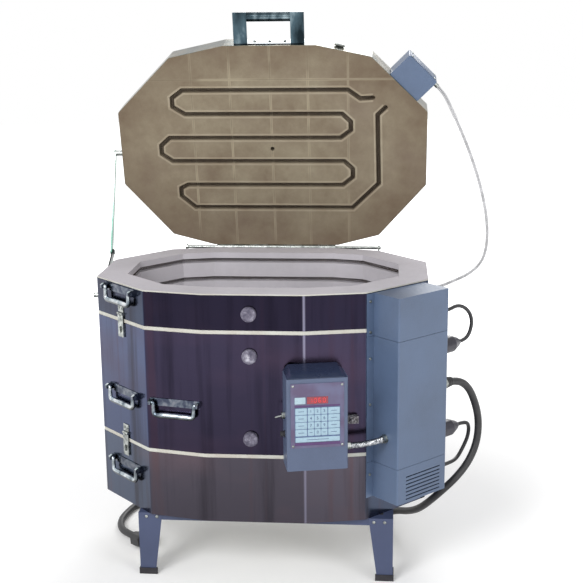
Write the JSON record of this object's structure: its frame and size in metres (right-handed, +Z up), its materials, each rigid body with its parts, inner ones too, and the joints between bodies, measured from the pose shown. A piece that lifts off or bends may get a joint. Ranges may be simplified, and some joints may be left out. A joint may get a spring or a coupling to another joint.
{
  "type": "electric kiln",
  "caption": "Oval top-loading electric kiln in three stacked jacketed sections on a stand, with a propped hinged lid, control box and digital controller.",
  "frame": {"origin": "on the floor under the centre of the oval body", "axes": "+Z up, -Y the front with the peepholes, +X the right-hand end seen from the front"},
  "size_m": [1.0935, 0.769, 1.4587],
  "materials": {
    "stainless": "polished",
    "lid_steel": "polished",
    "firebrick": "matte",
    "element": "matte",
    "blue_grey_paint": "satin",
    "case_paint": "satin",
    "handle_chrome": "polished",
    "zinc": "satin",
    "dark_steel": "satin",
    "black_rubber": "matte",
    "black_plastic": "matte",
    "grey_cable": "satin",
    "plug_ceramic": "matte",
    "panel_face": "satin",
    "display_red": "gloss",
    "keypad_blue": "satin",
    "brass_blade": "polished"
  },
  "bodies": {
    "kiln": {"legs": "blue_grey_paint", "foot_caps": "black_rubber", "rails": "blue_grey_paint", "floor_slab": "firebrick", "bottom_bricks": "firebrick", "middle_bricks": "firebrick", "top_bricks": "firebrick", "bottom_jacket": "stainless", "middle_jacket": "stainless", "top_jacket": "stainless", "wall_elements": "element", "handle_brackets": "handle_chrome", "hasp_plates": "zinc", "hinge_plates": "zinc", "hinge_rod": "zinc", "prop_brackets": "zinc", "control_box_bottom": "blue_grey_paint", "control_box_middle": "blue_grey_paint", "control_box_top": "blue_grey_paint", "controller_case": "case_paint", "controller_hood": "black_plastic", "controller_bracket": "case_paint", "controller_panel": "panel_face", "display_window": "display_red", "keypad": "keypad_blue", "switch_base": "zinc", "fuse_holder": "black_plastic", "conduit": "zinc", "cord_fittings": "zinc", "thermocouple_block": "black_plastic", "sockets": "black_plastic", "section_plugs": "black_plastic", "section_cord_high": "black_rubber", "section_cord_low": "black_rubber", "power_cord": "black_rubber", "power_plug": "black_rubber", "plug_blades": "brass_blade", "lid_cable": "grey_cable"},
    "lid": {"lid_bricks": "firebrick", "lid_band": "lid_steel", "lid_element": "element", "lid_handle": "blue_grey_paint", "lid_terminal_box": "blue_grey_paint", "lid_gland": "zinc", "lid_hinge_straps": "zinc", "lid_prop_stud": "zinc"},
    "prop_upper": {"prop_upper_arm": "zinc"},
    "prop_lower": {"prop_lower_arm": "dark_steel"},
    "bail_front": {"handle_front_bail": "handle_chrome"},
    "bail_left_high": {"handle_left_high_bail": "handle_chrome"},
    "bail_left_middle": {"handle_left_middle_bail": "handle_chrome"},
    "bail_left_low": {"handle_left_low_bail": "handle_chrome"},
    "hasp_high": {"hasp_high_strap": "zinc"},
    "hasp_low": {"hasp_low_strap": "zinc"},
    "plug_high": {"peephole_plug_high": "plug_ceramic"},
    "plug_middle": {"peephole_plug_middle": "plug_ceramic"},
    "plug_low": {"peephole_plug_low": "plug_ceramic"},
    "toggle": {"toggle_lever": "zinc"}
  },
  "joints": [
    {"name": "lid_hinge", "type": "hinge", "parent": "kiln", "child": "lid", "pos_m": [0, 0.306, 0.78], "axis": [1, 0, 0], "range_deg": [0, 77.3]},
    {"name": "prop_lower_pivot", "type": "hinge", "parent": "kiln", "child": "prop_lower", "pos_m": [-0.438, 0.031, 0.695], "axis": [1, 0, 0], "range_deg": [-91.24, 0.05]},
    {"name": "prop_upper_pivot", "type": "hinge", "parent": "lid", "child": "prop_upper", "pos_m": [-0.438, 0.28012, 1.06222], "axis": [1, 0, 0], "range_deg": [-39.23, 0.05]},
    {"name": "bail_front_swing", "type": "hinge", "parent": "kiln", "child": "bail_front", "pos_m": [-0.20707, -0.2922, 0.489], "axis": [-0.9775, 0.2108, 0], "range_deg": [0, 90]},
    {"name": "bail_left_high_swing", "type": "hinge", "parent": "kiln", "child": "bail_left_high", "pos_m": [-0.36375, -0.1978, 0.764], "axis": [-0.7071, 0.7071, 0], "range_deg": [0, 90]},
    {"name": "bail_left_middle_swing", "type": "hinge", "parent": "kiln", "child": "bail_left_middle", "pos_m": [-0.36375, -0.1978, 0.489], "axis": [-0.7071, 0.7071, 0], "range_deg": [0, 90]},
    {"name": "bail_left_low_swing", "type": "hinge", "parent": "kiln", "child": "bail_left_low", "pos_m": [-0.36375, -0.1978, 0.287], "axis": [-0.7071, 0.7071, 0], "range_deg": [0, 90]},
    {"name": "hasp_high_swing", "type": "hinge", "parent": "kiln", "child": "hasp_high", "pos_m": [-0.35774, -0.19321, 0.7], "axis": [-0.7071, 0.7071, 0], "range_deg": [0, 120]},
    {"name": "hasp_low_swing", "type": "hinge", "parent": "kiln", "child": "hasp_low", "pos_m": [-0.35774, -0.19321, 0.373], "axis": [-0.7071, 0.7071, 0], "range_deg": [0, 120]},
    {"name": "plug_high_pull", "type": "slide", "parent": "kiln", "child": "plug_high", "axis": [0, -1, 0], "range_m": [0, 0.085]},
    {"name": "plug_middle_pull", "type": "slide", "parent": "kiln", "child": "plug_middle", "axis": [0, -1, 0], "range_m": [0, 0.085]},
    {"name": "plug_low_pull", "type": "slide", "parent": "kiln", "child": "plug_low", "axis": [0, -1, 0], "range_m": [0, 0.085]},
    {"name": "toggle_tilt", "type": "hinge", "parent": "kiln", "child": "toggle", "pos_m": [0.08035, -0.35534, 0.488], "axis": [-0.2108, 0.9775, 0], "range_deg": [0, 24]}
  ],
  "couplings": [
    {"joint": "prop_lower_pivot", "follows": "lid_hinge", "ratio": -1.1797},
    {"joint": "prop_upper_pivot", "follows": "lid_hinge", "ratio": -0.50688}
  ]
}
